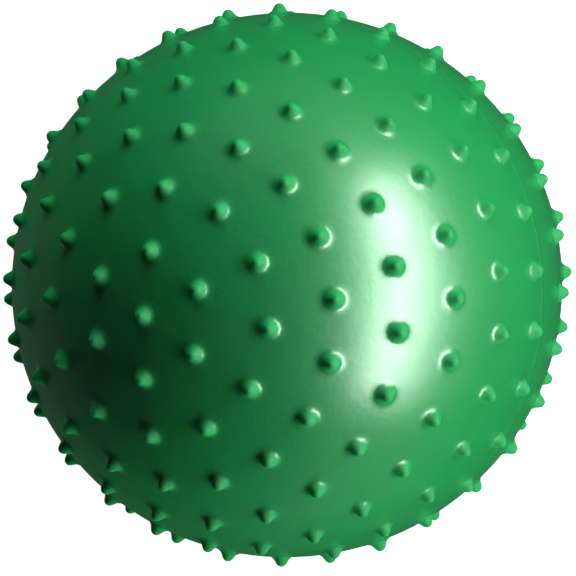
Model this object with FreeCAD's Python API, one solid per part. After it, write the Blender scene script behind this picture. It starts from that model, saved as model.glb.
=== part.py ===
import FreeCAD, Part
import math
import os

# Inflatable knobbly massage ball, in millimetres.
# Origin at the centre of the ball, +Z along the moulding axis, from the valve to the pole knob.
# The ball rests on the ring of knobs around the valve, which faces down.

# Hollow skin: one vinyl moulding, slightly longer along its axis than across its seam.
seam_radius = 100.0
pole_radius = 105.5
wall = 1.6
seam_bead_radius = 0.3
seam_bead_sink = 0.1

# Knobs, one size all over: a flared foot, a cone and a round tip.
knob_height = 4.0
knob_tip_radius = 2.0
knob_foot_radius = 5.5
knob_cone_radius = 2.75
knob_cone_start = 0.9
knob_flare_bend = 0.35
knob_root_depth = 1.0

# Rows of knobs on each half, counted from its pole: the polar step between rows in degrees,
# the knobs in each row, and how far each row is turned, as a part of its own spacing.
plain_half_step = 12.28
plain_half_counts = (6, 12, 18, 22, 26, 28, 30)
plain_half_turns = (0.0, 0.0, 0.0, 0.5, 0.0, -0.13, 0.32)
valve_half_step = 13.0
valve_half_counts = (6, 12, 18, 24, 28, 30)
valve_half_turns = (0.0, 0.0, 0.0, 0.5, 0.54, 0.82)

# Valve seat: a stiffer bush bonded into a hole in the skin, with a collar against its inner face.
seat_radius = 9.0
seat_collar_radius = 13.0
seat_collar_depth = 5.0
seat_barrel_radius = 6.5
seat_length = 17.0
seat_lip_height = 0.3
recess_radius = 7.2
recess_depth = 3.2
bore_radius = 4.0
bore_mouth_chamfer = 0.6

# Valve plug: a push-in stopper with a flat head that lies in the seat's recess.
plug_fit_gap = 0.05
plug_head_gap = 0.25
plug_head_radius = 6.6
plug_head_thickness = 2.0
plug_head_round = 0.6
plug_stem_length = 15.0
plug_nose_length = 3.0
plug_nose_radius = 2.8
plug_dimple_radius = 3.4
plug_dimple_depth = 0.8
plug_tab_width = 2.0
plug_tab_reach = 5.6
plug_tab_height = 0.9

z_axis = FreeCAD.Vector(0, 0, 1)
centre = FreeCAD.Vector(0, 0, 0)
pole_z = -pole_radius


def rz(radius, height):
    """A point of a section that is turned about Z."""
    return FreeCAD.Vector(radius, 0, height)


def line(start, end):
    return Part.LineSegment(start, end).toShape()


def turned(edges):
    """The closed solid that a half section sweeps about Z."""
    face = Part.Face(Part.Wire(Part.__sortEdges__(edges)))
    return face.revolve(centre, z_axis, 360)


def turned_outline(corners):
    points = [rz(radius, height) for radius, height in corners]
    return turned([line(a, b) for a, b in zip(points, points[1:] + points[:1])])


def ellipsoid(radius, half_length):
    """An ellipsoid about Z, longer along Z than across."""
    top = rz(0, half_length)
    bottom = rz(0, -half_length)
    ellipse = Part.Ellipse(top, rz(radius, 0), centre)
    side = Part.Arc(ellipse, 0, math.pi).toShape()
    if side.CenterOfMass.x < 0:
        side = Part.Arc(ellipse, math.pi, 2 * math.pi).toShape()
    return turned([side, line(bottom, top)])


def tangent_point(outside, middle, radius):
    """Where a line from a point outside a circle touches its outer side."""
    away = outside.sub(middle)
    turn = math.acos(radius / away.Length)
    bearing = math.atan2(away.z, away.x) + turn
    return rz(middle.x + radius * math.cos(bearing), middle.z + radius * math.sin(bearing))


def knob():
    """One knob standing on Z = 0, with a root below it."""
    foot = rz(knob_foot_radius, 0)
    cone_foot = rz(knob_cone_radius, knob_cone_start)
    flare_middle = rz(knob_cone_radius + (knob_foot_radius - knob_cone_radius) * knob_flare_bend,
                      knob_cone_start * knob_flare_bend)
    ball_middle = rz(0, knob_height - knob_tip_radius)
    cone_top = tangent_point(cone_foot, ball_middle, knob_tip_radius)
    tip = rz(0, knob_height)
    shoulder = (math.pi / 2 + math.atan2(cone_top.z - ball_middle.z, cone_top.x)) / 2
    tip_middle = rz(knob_tip_radius * math.cos(shoulder),
                    ball_middle.z + knob_tip_radius * math.sin(shoulder))
    root = rz(knob_foot_radius, -knob_root_depth)
    return turned([
        line(rz(0, -knob_root_depth), root),
        line(root, foot),
        Part.Arc(foot, flare_middle, cone_foot).toShape(),
        line(cone_foot, cone_top),
        Part.Arc(cone_top, tip_middle, tip).toShape(),
        line(tip, rz(0, -knob_root_depth)),
    ])


def knob_site(polar, around, side):
    """Where a knob stands: a point on the skin and the outward direction there."""
    across = math.sin(polar)
    along = side * math.cos(polar)
    heading = FreeCAD.Vector(math.cos(around), math.sin(around), 0)
    point = heading * (seam_radius * across) + z_axis * (pole_radius * along)
    outward = heading * (across / seam_radius) + z_axis * (along / pole_radius)
    return point, outward.normalize()


def half_sites(step, counts, turns, side):
    sites = []
    for row, (count, turn) in enumerate(zip(counts, turns), start=1):
        for index in range(count):
            around = 2 * math.pi * (index + turn) / count
            sites.append(knob_site(math.radians(step * row), around, side))
    return sites


def all_sites():
    pole_knob = knob_site(0, 0, 1)
    plain_half = half_sites(plain_half_step, plain_half_counts, plain_half_turns, 1)
    valve_half = half_sites(valve_half_step, valve_half_counts, valve_half_turns, -1)
    return [pole_knob] + plain_half + valve_half


def standing(shape, point, outward):
    copy = shape.copy()
    copy.Placement = FreeCAD.Placement(point, FreeCAD.Rotation(z_axis, outward))
    return copy


def ball_skin():
    outer = ellipsoid(seam_radius, pole_radius)
    bead_ring_radius = seam_radius - seam_bead_sink
    bead = Part.makeTorus(bead_ring_radius, seam_bead_radius)
    one_knob = knob()
    knobs = [standing(one_knob, point, outward) for point, outward in all_sites()]
    solid = outer.fuse([bead] + knobs)
    inside = ellipsoid(seam_radius - wall, pole_radius - wall)
    hole = Part.makeCylinder(seat_radius, 2 * wall + seat_length, rz(0, pole_z - wall), z_axis)
    return solid.cut([inside, hole])


def valve_seat(skin):
    """The bush: a disc in the skin's hole, a collar behind it and a barrel into the ball."""
    face_z = pole_z - seat_lip_height
    collar_z = pole_z + seat_collar_depth
    floor_z = pole_z + recess_depth
    end_z = pole_z + seat_length
    body = turned_outline([
        (bore_radius, end_z),
        (seat_barrel_radius, end_z),
        (seat_barrel_radius, collar_z),
        (seat_collar_radius, collar_z),
        (seat_collar_radius, pole_z + wall),
        (seat_radius, pole_z + wall),
        (seat_radius, face_z),
        (recess_radius, face_z),
        (recess_radius, floor_z),
        (bore_radius + bore_mouth_chamfer, floor_z),
        (bore_radius, floor_z + bore_mouth_chamfer),
    ])
    return body.cut(skin)


def valve_plug():
    """The stopper: a round head with a dimple and a pull tab, and a stem with a tapered nose."""
    stem_radius = bore_radius - plug_fit_gap
    head_z = pole_z + recess_depth - plug_head_gap
    outer_z = head_z - plug_head_thickness
    nose_z = head_z + plug_stem_length
    body = turned_outline([
        (0, outer_z + plug_dimple_depth),
        (plug_dimple_radius, outer_z + plug_dimple_depth),
        (plug_dimple_radius, outer_z),
        (plug_head_radius - plug_head_round, outer_z),
        (plug_head_radius, outer_z + plug_head_round),
        (plug_head_radius, head_z),
        (stem_radius, head_z),
        (stem_radius, nose_z - plug_nose_length),
        (plug_nose_radius, nose_z),
        (0, nose_z),
    ])
    tab_corner = FreeCAD.Vector(-plug_tab_reach, -plug_tab_width / 2, outer_z - plug_tab_height / 2)
    tab = Part.makeBox(2 * plug_tab_reach, plug_tab_width, plug_dimple_depth + plug_tab_height,
                       tab_corner)
    return body.fuse(tab).removeSplitter()


os.makedirs("parts", exist_ok=True)
skin = ball_skin()
parts = {
    "ball_skin": skin,
    "valve_seat": valve_seat(skin),
    "valve_plug": valve_plug(),
}
for name, shape in parts.items():
    print(name, len(shape.Solids), "solid", shape.isValid(), round(shape.Volume / 1000, 2), "cm3")
    shape.exportStep("parts/" + name + ".step")
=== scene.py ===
import math
import bpy
from mathutils import Matrix, Vector


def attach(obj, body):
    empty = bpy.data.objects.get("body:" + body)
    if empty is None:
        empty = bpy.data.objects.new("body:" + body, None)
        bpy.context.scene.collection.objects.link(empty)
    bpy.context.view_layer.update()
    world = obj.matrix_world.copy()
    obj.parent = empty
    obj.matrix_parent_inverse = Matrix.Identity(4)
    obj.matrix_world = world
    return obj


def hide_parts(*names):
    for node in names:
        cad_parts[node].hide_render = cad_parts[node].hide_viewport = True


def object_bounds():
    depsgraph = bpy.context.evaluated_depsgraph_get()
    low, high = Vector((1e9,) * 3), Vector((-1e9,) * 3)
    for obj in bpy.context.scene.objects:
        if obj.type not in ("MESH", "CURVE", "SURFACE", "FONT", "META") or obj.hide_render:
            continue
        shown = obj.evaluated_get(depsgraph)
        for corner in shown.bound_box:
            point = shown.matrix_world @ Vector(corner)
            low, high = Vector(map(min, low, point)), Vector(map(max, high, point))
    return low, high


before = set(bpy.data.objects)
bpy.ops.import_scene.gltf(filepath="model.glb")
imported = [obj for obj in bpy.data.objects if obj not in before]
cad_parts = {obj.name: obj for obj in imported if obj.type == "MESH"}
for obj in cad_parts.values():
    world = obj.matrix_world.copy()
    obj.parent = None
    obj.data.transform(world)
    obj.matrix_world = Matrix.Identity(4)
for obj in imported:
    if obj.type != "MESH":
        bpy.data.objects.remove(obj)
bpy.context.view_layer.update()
mm = 0.001

# sizes in millimetres, as the CAD skin has them, how finely its two faces are divided,
# and the angle in degrees below which an edge is shaded smooth
ball = {
    "seamRadius": 100.0,
    "poleRadius": 105.5,
    "wall": 1.6,
    "valveHole": 9.0,
    "valveHoleDepth": 36.0,
    "valveHoleSides": 64,
    "outerDetail": 7,
    "innerDetail": 5,
    "mergeGap": 0.005,
    "smoothAngle": 50,
}

# rows of knobs from each pole: the step in degrees, how many stand in each row,
# and how far each row is turned, as a part of its own spacing
plainHalf = {
    "side": 1,
    "step": 12.28,
    "counts": (6, 12, 18, 22, 26, 28, 30),
    "turns": (0.0, 0.0, 0.0, 0.5, 0.0, -0.13, 0.32),
}
valveHalf = {
    "side": -1,
    "step": 13.0,
    "counts": (6, 12, 18, 24, 28, 30),
    "turns": (0.0, 0.0, 0.0, 0.5, 0.54, 0.82),
}


class Socket:
    # a shader socket that can be used in sums, so that an expression adds its own nodes
    def __init__(self, tree, link):
        self.tree = tree
        self.link = link

    def node(self, kind, settings=None, **values):
        made = self.tree.nodes.new(kind)
        for name, value in (settings or {}).items():
            setattr(made, name, value)
        for name, value in values.items():
            self.feed(made.inputs[int(name[2:]) if name.startswith("in") else name], value)
        return made

    def feed(self, target, value):
        if isinstance(value, Socket):
            self.tree.links.new(value.link, target)
        else:
            target.default_value = value

    def wrap(self, link):
        return Socket(self.tree, link)

    def maths(self, operation, first, second):
        made = self.node("ShaderNodeMath", {"operation": operation}, in0=first, in1=second)
        return self.wrap(made.outputs[0])

    def __add__(self, other):
        return self.maths("ADD", self, other)

    def __radd__(self, other):
        return self.maths("ADD", other, self)

    def __sub__(self, other):
        return self.maths("SUBTRACT", self, other)

    def __rsub__(self, other):
        return self.maths("SUBTRACT", other, self)

    def __mul__(self, other):
        return self.maths("MULTIPLY", self, other)

    def __rmul__(self, other):
        return self.maths("MULTIPLY", other, self)

    def noise(self, scale, detail, roughness=0.5):
        made = self.node("ShaderNodeTexNoise", in0=self)
        made.inputs["Scale"].default_value = scale
        made.inputs["Detail"].default_value = detail
        made.inputs["Roughness"].default_value = roughness
        return self.wrap(made.outputs["Fac"])

    def scaled(self, factors):
        made = self.node("ShaderNodeVectorMath", {"operation": "MULTIPLY"}, in0=self, in1=factors)
        return self.wrap(made.outputs["Vector"])

    def length(self):
        made = self.node("ShaderNodeVectorMath", {"operation": "LENGTH"}, in0=self)
        return self.wrap(made.outputs["Value"])

    def rising(self, start, end):
        # 0 below the start, 1 above the end
        made = self.node("ShaderNodeMapRange", {"interpolation_type": "SMOOTHSTEP"},
                         in0=self, in1=start, in2=end)
        return self.wrap(made.outputs["Result"])

    def mixed(self, first, second):
        made = self.node("ShaderNodeMix", {"data_type": "RGBA"}, in0=self)
        self.feed(made.inputs[6], first)
        self.feed(made.inputs[7], second)
        return self.wrap(made.outputs[2])

    def bump(self, distance, strength):
        made = self.node("ShaderNodeBump", Height=self, Distance=distance, Strength=strength)
        return self.wrap(made.outputs["Normal"])


def newMaterial(name):
    material = bpy.data.materials.new(name)
    material.use_nodes = True
    tree = material.node_tree
    shader = tree.nodes["Principled BSDF"]
    place = Socket(tree, tree.nodes.new("ShaderNodeTexCoord").outputs["Object"])
    return material, shader, place


def dress(piece, material):
    piece.data.materials.clear()
    piece.data.materials.append(material)


def selectOnly(*pieces):
    bpy.ops.object.select_all(action="DESELECT")
    for piece in pieces:
        piece.select_set(True)
    bpy.context.view_layer.objects.active = pieces[0]


def startEdit(piece, mode="VERT"):
    selectOnly(piece)
    bpy.ops.object.mode_set(mode="EDIT")
    bpy.ops.mesh.select_mode(type=mode)
    bpy.ops.mesh.select_all(action="SELECT")


def endEdit():
    bpy.ops.object.mode_set(mode="OBJECT")


def named(name):
    piece = bpy.context.active_object
    piece.name = name
    piece.data.name = name
    return piece


def cutOrJoin(piece, tool, operation):
    change = piece.modifiers.new(tool.name, "BOOLEAN")
    change.object = tool
    change.operation = operation
    change.solver = "MANIFOLD"
    selectOnly(piece)
    bpy.ops.object.modifier_apply(modifier=change.name)
    bpy.data.objects.remove(tool)


# one knob: an upright root sunk in the skin, a flare that starts level, a cone and a round tip
knobShape = {
    "height": 3.7,
    "tipRadius": 2.05,
    "coneRadius": 2.8,
    "coneStart": 0.95,
    "footRadius": 5.9,
    "footEdge": 0.022,
    "flarePower": 4.0,
    "flareRings": (0.42, 0.68, 1.0),
    "tipRings": (0.0, 0.5),
    "rootDepth": 1.0,
    "sides": 12,
}


def skinDrop(radius):
    # how far the round skin falls away at that distance from a knob's middle
    return ball["seamRadius"] - math.sqrt(ball["seamRadius"] ** 2 - radius ** 2)


def knobRings():
    shape = knobShape
    foot = shape["footRadius"]
    rings = [(foot, shape["footEdge"] - skinDrop(foot))]
    for part in shape["flareRings"]:
        radius = foot - part * (foot - shape["coneRadius"])
        lift = (shape["coneStart"] - shape["footEdge"]) * part ** shape["flarePower"]
        rings.append((radius, shape["footEdge"] + lift - skinDrop(radius)))
    middle = shape["height"] - shape["tipRadius"]
    rise = middle - rings[-1][1]
    away = math.hypot(shape["coneRadius"], rise)
    touch = math.acos(shape["tipRadius"] / away) - math.atan2(rise, shape["coneRadius"])
    for part in shape["tipRings"]:
        bearing = touch + (math.pi / 2 - touch) * part
        rings.append((shape["tipRadius"] * math.cos(bearing),
                      middle + shape["tipRadius"] * math.sin(bearing)))
    return rings


def modelKnob():
    shape = knobShape
    lastRadius, lastHeight = shape["footRadius"], -shape["rootDepth"]
    bpy.ops.object.select_all(action="DESELECT")
    bpy.ops.mesh.primitive_circle_add(vertices=shape["sides"], radius=lastRadius * mm,
                                      fill_type="NGON", location=(0, 0, lastHeight * mm))
    knob = named("knob")
    bpy.ops.object.transform_apply(location=True, rotation=False, scale=False)
    startEdit(knob, "FACE")
    for radius, height in knobRings():
        lift = (0, 0, (height - lastHeight) * mm)
        bpy.ops.mesh.extrude_region_move(TRANSFORM_OT_translate={"value": lift})
        share = radius / lastRadius
        bpy.ops.transform.resize(value=(share, share, 1), center_override=(0, 0, height * mm))
        lastRadius, lastHeight = radius, height
    bpy.ops.mesh.poke(offset=(shape["height"] - lastHeight) * mm)
    bpy.ops.mesh.select_all(action="SELECT")
    bpy.ops.mesh.normals_make_consistent(inside=False)
    endEdit()
    return knob


def knobSites():
    # the outward direction at each knob, while the skin is still round
    sites = [Vector((0, 0, 1))]
    for half in (plainHalf, valveHalf):
        for row, (count, turn) in enumerate(zip(half["counts"], half["turns"]), start=1):
            polar = math.radians(half["step"] * row)
            for index in range(count):
                around = 2 * math.pi * (index + turn) / count
                across = math.sin(polar)
                sites.append(Vector((across * math.cos(around), across * math.sin(around),
                                     half["side"] * math.cos(polar))))
    return sites


def knobField():
    # every knob on the ball, as one piece to join to the skin
    knob = modelKnob()
    copies = []
    for outward in knobSites():
        copy = knob.copy()
        copy.data = knob.data.copy()
        bpy.context.scene.collection.objects.link(copy)
        turn = outward.to_track_quat("Z", "Y").to_matrix().to_4x4()
        copy.matrix_world = Matrix.Translation(outward * ball["seamRadius"] * mm) @ turn
        copies.append(copy)
    bpy.data.objects.remove(knob)
    bpy.context.view_layer.update()
    selectOnly(*copies)
    bpy.ops.object.join()
    field = named("knobField")
    bpy.ops.object.transform_apply(location=True, rotation=True, scale=True)
    print("knobs", len(copies))
    return field


def addSphere(name, radius, detail):
    bpy.ops.object.select_all(action="DESELECT")
    bpy.ops.mesh.primitive_ico_sphere_add(subdivisions=detail, radius=radius * mm)
    return named(name)


# the moulding's seam: a low round bead, most of it under the skin
seamBead = {"radius": 0.9, "sink": 0.83, "around": 240, "across": 32}


def modelBead():
    bpy.ops.object.select_all(action="DESELECT")
    bpy.ops.mesh.primitive_torus_add(
        major_radius=(ball["seamRadius"] - seamBead["sink"]) * mm,
        minor_radius=seamBead["radius"] * mm,
        major_segments=seamBead["around"], minor_segments=seamBead["across"])
    return named("seamBead")


def modelHole():
    bpy.ops.object.select_all(action="DESELECT")
    bpy.ops.mesh.primitive_cylinder_add(
        vertices=ball["valveHoleSides"], radius=ball["valveHole"] * mm,
        depth=ball["valveHoleDepth"] * mm, location=(0, 0, -ball["seamRadius"] * mm))
    hole = named("valveHole")
    bpy.ops.object.transform_apply(location=True, rotation=False, scale=False)
    return hole


def modelSkin():
    # modelled round, then grown along its axis
    skin = addSphere("skin", ball["seamRadius"], ball["outerDetail"])
    cutOrJoin(skin, knobField(), "UNION")
    cutOrJoin(skin, modelBead(), "UNION")
    inside = addSphere("inside", ball["seamRadius"] - ball["wall"], ball["innerDetail"])
    cutOrJoin(skin, inside, "DIFFERENCE")
    cutOrJoin(skin, modelHole(), "DIFFERENCE")
    startEdit(skin)
    growth = ball["poleRadius"] / ball["seamRadius"]
    bpy.ops.transform.resize(value=(1, 1, growth), center_override=(0, 0, 0))
    bpy.ops.mesh.remove_doubles(threshold=ball["mergeGap"] * mm)
    endEdit()
    selectOnly(skin)
    bpy.ops.object.shade_smooth_by_angle(angle=math.radians(ball["smoothAngle"]))
    print("skin", len(skin.data.polygons), "faces")
    return skin


# colours, pattern scales and gloss; lengths are in millimetres, and the rubbing, with the knobs' paler
# colour painted as the light they catch, starts and is full at distances from the ball's middle
skinFinish = {
    "light": (0.006, 0.255, 0.062, 1),
    "deep": (0.006, 0.205, 0.049, 1),
    # the knobs' colour: painted paler than the skin, as painted light on the raised knobs
    "rubbedAndLit": (0.005, 0.28, 0.066, 1),
    "cloudScale": 28.0,
    "cloudDetail": 4.0,
    "grainScale": 620.0,
    "grainDetail": 3.0,
    "grainRoughness": 0.6,
    "grainShare": 0.6,
    "peelScale": 260.0,
    "peelDetail": 2.0,
    "handledScale": 48.0,
    "handledDetail": 3.0,
    "handledRoughness": 0.6,
    "roughness": 0.32,
    "roughnessSpread": 0.08,
    "gloss": 0.2,
    "coat": 1.1,
    "coatPatches": 0.5,
    "coatRoughness": 0.32,
    "rubStart": 100.1,
    "rubEnd": 101.0,
    "rubRoughness": 0.38,
    "bumpHeight": 0.12,
    "bumpStrength": 1.0,
}


def skinMaterial():
    finish = skinFinish
    material, shader, place = newMaterial("greenVinyl")
    cloud = place.noise(finish["cloudScale"], finish["cloudDetail"])
    grain = place.noise(finish["grainScale"], finish["grainDetail"], finish["grainRoughness"])
    peel = place.noise(finish["peelScale"], finish["peelDetail"])
    handled = place.noise(finish["handledScale"], finish["handledDetail"], finish["handledRoughness"])
    # the knobs are rubbed duller than the skin between them, and their colour is painted a little
    # paler as painted light that the raised knobs catch
    shrink = ball["seamRadius"] / ball["poleRadius"]
    fromMiddle = place.scaled((1, 1, shrink)).length()
    rubbedAndLit = fromMiddle.rising(finish["rubStart"] * mm, finish["rubEnd"] * mm)
    tone = rubbedAndLit.mixed(cloud.mixed(finish["deep"], finish["light"]), finish["rubbedAndLit"])
    place.feed(shader.inputs["Base Color"], tone)
    unevenness = finish["roughnessSpread"] * (peel - 0.5)
    rough = finish["roughness"] + unevenness + finish["rubRoughness"] * rubbedAndLit
    place.feed(shader.inputs["Roughness"], rough)
    # handling has left the gloss between the knobs a little patchy
    sheen = finish["coat"] - finish["coatPatches"] * handled
    place.feed(shader.inputs["Coat Weight"], sheen * (1 - rubbedAndLit))
    relief = peel + finish["grainShare"] * grain
    place.feed(shader.inputs["Normal"], relief.bump(finish["bumpHeight"] * mm, finish["bumpStrength"]))
    shader.inputs["Specular IOR Level"].default_value = finish["gloss"]
    shader.inputs["Coat Roughness"].default_value = finish["coatRoughness"]
    return material


# the stiffer bush round the valve
seatFinish = {
    "name": "valveSeatVinyl",
    "deep": (0.006, 0.22, 0.06, 1),
    "light": (0.01, 0.28, 0.08, 1),
    "cloudScale": 90.0,
    "cloudDetail": 3.0,
    "grainScale": 900.0,
    "grainDetail": 2.0,
    "roughness": 0.4,
    "roughnessSpread": 0.15,
    "bumpHeight": 0.1,
    "bumpStrength": 0.4,
}

# the stopper in it
plugFinish = {
    "name": "palePlugPlastic",
    "deep": (0.72, 0.72, 0.69, 1),
    "light": (0.8, 0.8, 0.78, 1),
    "cloudScale": 120.0,
    "cloudDetail": 3.0,
    "grainScale": 1100.0,
    "grainDetail": 2.0,
    "roughness": 0.38,
    "roughnessSpread": 0.15,
    "bumpHeight": 0.08,
    "bumpStrength": 0.4,
}


def valveMaterial(finish):
    material, shader, place = newMaterial(finish["name"])
    cloud = place.noise(finish["cloudScale"], finish["cloudDetail"])
    grain = place.noise(finish["grainScale"], finish["grainDetail"])
    place.feed(shader.inputs["Base Color"], cloud.mixed(finish["deep"], finish["light"]))
    place.feed(shader.inputs["Roughness"], finish["roughness"] + finish["roughnessSpread"] * grain)
    place.feed(shader.inputs["Normal"], grain.bump(finish["bumpHeight"] * mm, finish["bumpStrength"]))
    return material


skin = modelSkin()
dress(skin, skinMaterial())
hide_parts("ball_skin")
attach(skin, "ball")
dress(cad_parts["valve_seat"], valveMaterial(seatFinish))
dress(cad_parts["valve_plug"], valveMaterial(plugFinish))
print("pieces dressed")

# where the camera stands, as seen from the ball: its height, turn and roll in degrees,
# its distance and how far it is moved aside in ball radii, and its lens in millimetres
viewpoint = {
    "elevation": 62.4,
    "azimuth": 17.6,
    "roll": -102.2,
    "distance": 8.5,
    "focal": 143.5,
    "sensorWidth": 36,
    "aside": (-0.002, -0.012),
}


def cameraAxes():
    up, turn = math.radians(viewpoint["elevation"]), math.radians(viewpoint["azimuth"])
    back = Vector((math.sin(turn) * math.cos(up), -math.cos(turn) * math.cos(up), math.sin(up)))
    level = Vector((math.cos(turn), math.sin(turn), 0))
    above = back.cross(level)
    roll = math.radians(viewpoint["roll"])
    right = level * math.cos(roll) + above * math.sin(roll)
    return right, back.cross(right), back


right, above, back = cameraAxes()


def fromCamera(x, y, z):
    # a direction told as right of, above and towards the camera
    return right * x + above * y + back * z


def addCamera():
    data = bpy.data.cameras.new("camera")
    data.lens = viewpoint["focal"]
    data.sensor_width = viewpoint["sensorWidth"]
    camera = bpy.data.objects.new("camera", data)
    bpy.context.scene.collection.objects.link(camera)
    axes = Matrix((right, above, back)).transposed().to_4x4()
    aside = viewpoint["aside"]
    stand = fromCamera(aside[0], aside[1], viewpoint["distance"]) * ball["seamRadius"] * mm
    camera.matrix_world = Matrix.Translation(stand) @ axes
    bpy.context.scene.camera = camera


# lamps: where each stands from the ball (right, above, towards the camera), its distance and size in
# metres, its power in watts, and whether it shades the skin or only shines in its gloss
lights = {
    "windowBox": {"from": (0.70, 0.0, 0.715), "distance": 0.62, "size": (0.15, 1.0), "power": 10.5,
                  "shades": False, "shines": True},
    "windowEdge": {"from": (0.78, -0.02, 0.63), "distance": 0.62, "size": (0.18, 1.0), "power": 3.8,
                   "shades": False, "shines": True},
    "sideGlow": {"from": (0.84, 0.0, 0.54), "distance": 0.66, "size": (0.2, 1.2), "power": 3.2,
                 "shades": False, "shines": True},
    "tallGlow": {"from": (0.60, 0.22, 0.77), "distance": 0.66, "size": (0.25, 1.5), "power": 1.5,
                 "shades": False, "shines": True},
    "sideSoft": {"from": (0.82, 0.02, 0.57), "distance": 0.7, "size": (0.3, 1.1), "power": 7.2,
                 "shades": True, "shines": False},
    "topSoft": {"from": (0.12, 0.93, 0.30), "distance": 0.7, "size": (0.8, 0.5), "power": 5.4,
                "shades": True, "shines": False},
    "lowSoft": {"from": (0.32, -0.92, -0.15), "distance": 0.7, "size": (0.8, 0.5), "power": 5.2,
                "shades": True, "shines": False},
    "farFill": {"from": (-0.6, 0.0, -0.8), "distance": 0.8, "size": (0.8, 0.8), "power": 6.5,
                "shades": True, "shines": False},
}


def addLight(name, lamp):
    data = bpy.data.lights.new(name, "AREA")
    data.shape = "RECTANGLE"
    data.size, data.size_y = lamp["size"]
    data.energy = lamp["power"]
    light = bpy.data.objects.new(name, data)
    bpy.context.scene.collection.objects.link(light)
    out = fromCamera(*lamp["from"]).normalized()
    side = above.cross(out).normalized()
    axes = Matrix((side, out.cross(side), out)).transposed().to_4x4()
    light.matrix_world = Matrix.Translation(out * lamp["distance"]) @ axes
    light.visible_camera = False
    light.visible_diffuse = lamp["shades"]
    light.visible_glossy = lamp["shines"]


studio = {
    "white": (1, 1, 1, 1),
    "worldStrength": 0.03,
    "floorSize": 8.0,
    "floorColour": (0.93, 0.93, 0.93, 1),
    "floorRoughness": 0.9,
    "floorGlow": 0.78,
}


def addStudio():
    world = bpy.data.worlds.new("studio")
    world.use_nodes = True
    shade = world.node_tree.nodes["Background"]
    shade.inputs["Color"].default_value = studio["white"]
    shade.inputs["Strength"].default_value = studio["worldStrength"]
    bpy.context.scene.world = world
    bpy.ops.object.select_all(action="DESELECT")
    bpy.ops.mesh.primitive_plane_add(size=studio["floorSize"], location=(0, 0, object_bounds()[0].z))
    floor = named("studioFloor")
    material, shader = newMaterial("paleFloor")[:2]
    shader.inputs["Base Color"].default_value = studio["floorColour"]
    shader.inputs["Roughness"].default_value = studio["floorRoughness"]
    shader.inputs["Emission Color"].default_value = studio["white"]
    shader.inputs["Emission Strength"].default_value = studio["floorGlow"]
    dress(floor, material)
    floor.visible_glossy = False
    floor.visible_diffuse = False
    floor.visible_shadow = False


addStudio()
addCamera()
for name, lamp in lights.items():
    addLight(name, lamp)
bpy.context.scene.view_settings.view_transform = "Standard"
print("studio ready")
